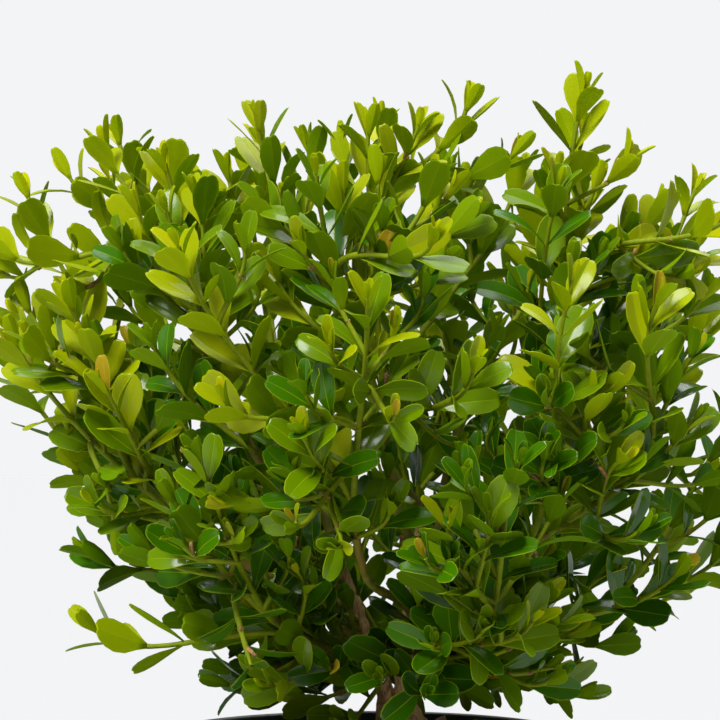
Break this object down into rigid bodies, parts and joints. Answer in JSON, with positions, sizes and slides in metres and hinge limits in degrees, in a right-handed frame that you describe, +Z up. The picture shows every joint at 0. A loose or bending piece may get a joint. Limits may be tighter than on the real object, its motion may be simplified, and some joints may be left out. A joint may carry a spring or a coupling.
{
  "type": "potted box shrub",
  "caption": "Young bushy box shrub with a short forked trunk, upswept leafy shoots and paired oval leaves, in a round tapered nursery pot of compost.",
  "frame": {"origin": "centre of the pot's flat underside, where it stands", "axes": "+Z up, the way the shrub grows; the front of the plant faces -Y and its right is +X"},
  "size_m": [0.2825, 0.273, 0.3599],
  "materials": {
    "pot": "satin",
    "compost": "matte",
    "bark": "matte",
    "green_bark": "satin",
    "foliage": "satin"
  },
  "bodies": {
    "root": {"pot": "pot", "compost": "compost", "trunk": "bark", "stem_1": "bark", "stem_2": "bark", "stem_3": "bark", "bough_low_1": "green_bark", "bough_low_2": "green_bark", "bough_low_3": "green_bark", "bough_low_4": "green_bark", "bough_low_5": "green_bark", "bough_low_6": "green_bark", "bough_middle_1": "green_bark", "bough_middle_2": "green_bark", "bough_middle_3": "green_bark", "bough_middle_4": "green_bark", "bough_middle_5": "green_bark", "bough_middle_6": "green_bark", "bough_upper_1": "green_bark", "bough_upper_2": "green_bark", "bough_upper_3": "green_bark", "bough_upper_4": "green_bark", "bough_upper_5": "green_bark", "bough_top": "green_bark", "foliage_low_1": "foliage", "foliage_low_2": "foliage", "foliage_low_3": "foliage", "foliage_low_4": "foliage", "foliage_low_5": "foliage", "foliage_low_6": "foliage", "foliage_middle_1": "foliage", "foliage_middle_2": "foliage", "foliage_middle_3": "foliage", "foliage_middle_4": "foliage", "foliage_middle_5": "foliage", "foliage_middle_6": "foliage", "foliage_upper_1": "foliage", "foliage_upper_2": "foliage", "foliage_upper_3": "foliage", "foliage_upper_4": "foliage", "foliage_upper_5": "foliage", "foliage_top": "foliage"}
  },
  "joints": []
}
